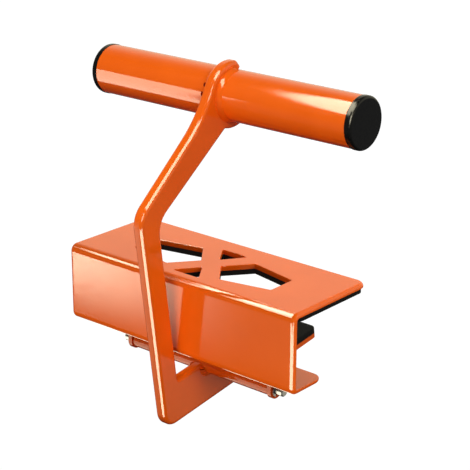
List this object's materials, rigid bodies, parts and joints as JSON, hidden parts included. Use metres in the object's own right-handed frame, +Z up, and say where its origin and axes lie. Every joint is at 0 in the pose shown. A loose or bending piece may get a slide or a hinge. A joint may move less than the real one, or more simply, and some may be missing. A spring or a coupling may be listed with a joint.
{
  "type": "slab carrying clamp",
  "caption": "Orange steel carrying clamp: a folded bracket hooks over a slab's edge, and a hinged lever with a tube handle presses its jaw against the underside when lifted.",
  "frame": {"origin": "centre of the upper rubber pad's gripping face, where the clamp sits on the slab", "axes": "+X along the handle tube and the hinge pin, +Y from the slab's edge inward, +Z up out of the slab's upper face"},
  "size_m": [0.207, 0.1064, 0.2245],
  "materials": {
    "orange_paint": "smooth glossy orange powder coat on sheet steel, plate, tube and welds",
    "black_rubber": "matt black rubber sheet with a fine grain",
    "black_plastic": "glossy black moulded plastic",
    "pin_steel": "bright drawn steel"
  },
  "bodies": {
    "bracket": {"bracket": "orange_paint", "top_pad": "black_rubber", "edge_pad": "black_rubber", "ear_left": "orange_paint", "ear_right": "orange_paint", "ear_weld_left": "orange_paint", "ear_weld_right": "orange_paint", "hinge_pin": "pin_steel", "pin_clip_left": "pin_steel", "pin_clip_right": "pin_steel"},
    "lever": {"hinge_barrel": "orange_paint", "jaw_plate": "orange_paint", "jaw_seam_weld": "orange_paint", "jaw_weld_left": "orange_paint", "jaw_weld_right": "orange_paint", "barrel_weld_left": "orange_paint", "barrel_weld_right": "orange_paint", "lever_arm": "orange_paint", "handle_tube": "orange_paint", "handle_weld_left": "orange_paint", "handle_weld_right": "orange_paint", "jaw_pad": "black_rubber", "end_cap_left": "black_plastic", "end_cap_right": "black_plastic"}
  },
  "joints": [
    {"name": "lever_pivot", "type": "hinge", "parent": "bracket", "child": "lever", "pos_m": [0, -0.0078, -0.0593], "axis": [1, 0, 0], "range_deg": [-7.5, 36]}
  ]
}
